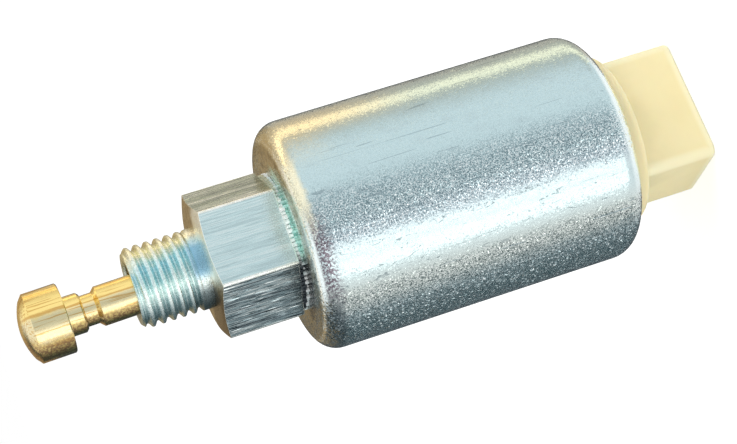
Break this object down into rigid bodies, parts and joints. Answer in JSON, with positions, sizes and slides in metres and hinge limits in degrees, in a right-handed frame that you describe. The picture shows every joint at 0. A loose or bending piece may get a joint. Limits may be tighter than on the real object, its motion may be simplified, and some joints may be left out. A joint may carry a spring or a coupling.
{
  "type": "fuel shutoff solenoid",
  "caption": "Fuel shutoff solenoid with a threaded hexagon nipple, a sprung brass valve pin, a plated can and a moulded plug shroud with blade terminals.",
  "frame": {"origin": "middle of the hexagon's front face, which seats on the carburettor", "axes": "+Z runs along the axis toward the valve pin, +X is square to the plug shroud's broad side"},
  "size_m": [0.028, 0.028, 0.0845],
  "materials": {
    "zinc_plate": "bright zinc plate with a faint bluish-yellow passivation",
    "pin_brass": "turned brass",
    "cap_nylon": "natural cream nylon, slightly translucent",
    "soft_iron": "turned soft iron",
    "stainless": "drawn stainless tube",
    "spring_steel": "drawn spring wire",
    "bobbin_plastic": "moulded glass-filled plastic",
    "enamelled_copper": "enamelled copper wire",
    "wrap_tape": "wrapped insulating tape",
    "seal_rubber": "soft black rubber",
    "shim_brass": "rolled brass",
    "terminal_brass": "tin-plated brass"
  },
  "bodies": {
    "solenoid_body": {"threaded_body": "zinc_plate", "can": "zinc_plate", "guide_tube": "stainless", "return_spring": "spring_steel", "fixed_core": "soft_iron", "anti_stick_shim": "shim_brass", "flux_plate": "soft_iron", "bobbin": "bobbin_plastic", "coil_winding": "enamelled_copper", "winding_tape": "wrap_tape", "spring_washer": "spring_steel", "front_o_ring": "seal_rubber", "rear_o_ring": "seal_rubber", "terminal_positive": "terminal_brass", "terminal_negative": "terminal_brass", "coil_lead_start": "enamelled_copper", "coil_lead_end": "enamelled_copper", "connector_housing": "cap_nylon"},
    "plunger": {"armature": "soft_iron", "stem_cross_pin": "stainless", "valve_pin": "pin_brass"}
  },
  "joints": [
    {"name": "plunger_slide", "type": "slide", "parent": "solenoid_body", "child": "plunger", "axis": [0, 0, -1], "range_m": [0, 0.0035], "stiffness_N_per_m": 600, "springref_m": -0.002, "deforming": ["return_spring"]}
  ]
}
